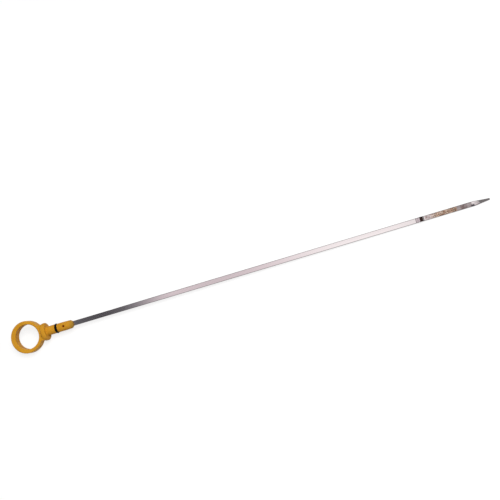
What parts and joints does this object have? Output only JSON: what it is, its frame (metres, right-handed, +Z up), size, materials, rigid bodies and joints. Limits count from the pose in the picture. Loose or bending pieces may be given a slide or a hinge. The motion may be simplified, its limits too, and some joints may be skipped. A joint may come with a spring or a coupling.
{
  "type": "engine oil dipstick",
  "caption": "Engine oil dipstick: amber plastic finger ring, collar and sealed stem on a long flat steel blade with a cross-hatched level zone and a twisted point",
  "frame": {"origin": "centre of the underside of the bounding box, on the ground that the part lies on", "axes": "+X from the handle to the point, about one degree above the stick's own axis; +Z up; the ring and the blade's faces are rolled about 17 degrees towards -Y, as the part comes to rest on its collar, ring edge and point"},
  "size_m": [0.5105, 0.035, 0.0194],
  "materials": {
    "handle_plastic": "amber, moulded, satin",
    "seal_rubber": "black, smooth",
    "blade_steel": "bright rolled spring steel, level zone stained"
  },
  "bodies": {
    "root": {"handle": "handle_plastic", "seal_ring": "seal_rubber", "blade": "blade_steel"}
  },
  "joints": []
}
